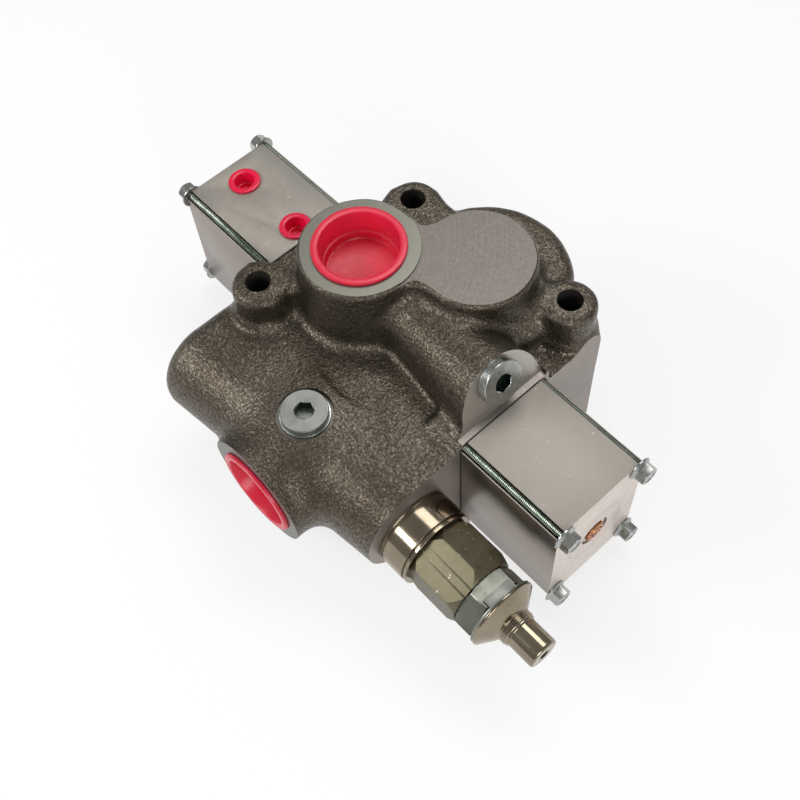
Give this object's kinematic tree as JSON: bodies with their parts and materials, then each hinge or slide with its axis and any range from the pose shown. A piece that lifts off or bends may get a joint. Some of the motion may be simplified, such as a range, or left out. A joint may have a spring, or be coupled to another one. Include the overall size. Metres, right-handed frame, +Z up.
{
  "type": "hoist control valve",
  "caption": "Air-shifted hydraulic directional valve with an iron body, spool, air cylinder, return spring housing, relief cartridge and capped ports for a truck hoist.",
  "frame": {"origin": "middle of the flat base, straight under the spool's axis and midway between the casting's end faces", "axes": "+X along the spool towards the return spring housing and relief cartridge, +Z up through the tank port, -Y towards the relief arm and pump port"},
  "size_m": [0.3438, 0.2197, 0.1337],
  "materials": {
    "cast_iron": "raw sand-cast skin",
    "block_aluminium": "extruded and sawn",
    "gasket_sheet": "fibre sheet",
    "zinc_steel": "bright zinc",
    "breather_bronze": "sintered",
    "red_plastic": "moulded",
    "cartridge_nickel": "warm nickel",
    "ground_steel": "ground",
    "spring_steel": "dark",
    "seal_rubber": "nitrile"
  },
  "bodies": {
    "valve": {"valve_body": "cast_iron", "air_cylinder": "block_aluminium", "spring_housing": "block_aluminium", "end_gaskets": "gasket_sheet", "air_side_bolts": "zinc_steel", "spring_side_bolts": "zinc_steel", "breather": "breather_bronze", "tank_port_cap": "red_plastic", "pump_port_cap": "red_plastic", "air_port_caps": "red_plastic", "cylinder_port_plug": "zinc_steel", "gauge_port_plug": "zinc_steel", "plug_washers": "ground_steel", "spool_seals": "seal_rubber", "inner_spring_seat": "ground_steel", "return_spring": "spring_steel", "relief_body": "cartridge_nickel", "relief_seal": "seal_rubber", "relief_lock_nut": "zinc_steel", "relief_lock_washer": "zinc_steel", "relief_gland": "cartridge_nickel", "relief_spring": "spring_steel"},
    "spool_set": {"spool": "ground_steel", "air_piston": "block_aluminium", "piston_seal": "seal_rubber", "piston_nut": "zinc_steel", "outer_spring_seat": "ground_steel", "seat_screw": "spring_steel"},
    "adjuster_carriage": {"relief_spring_seat": "ground_steel"},
    "adjuster": {"adjusting_screw": "cartridge_nickel"},
    "poppet": {"relief_poppet": "ground_steel"}
  },
  "joints": [
    {"name": "spool_slide", "type": "slide", "parent": "valve", "child": "spool_set", "axis": [1, 0, 0], "range_m": [-0.008, 0.008], "stiffness_N_per_m": 25000, "deforming": ["return_spring"]},
    {"name": "poppet_lift", "type": "slide", "parent": "valve", "child": "poppet", "axis": [1, 0, 0], "range_m": [0, 0.0025], "stiffness_N_per_m": 60000, "deforming": ["relief_spring"]},
    {"name": "adjuster_feed", "type": "slide", "parent": "valve", "child": "adjuster_carriage", "axis": [1, 0, 0], "range_m": [-0.003, 0]},
    {"name": "adjuster_turn", "type": "hinge", "parent": "adjuster_carriage", "child": "adjuster", "pos_m": [0.15, -0.068, 0.053], "axis": [1, 0, 0], "range_deg": [-720, 0]}
  ],
  "couplings": [
    {"joint": "adjuster_turn", "follows": "adjuster_feed", "rad_per_m": 4188.8}
  ]
}
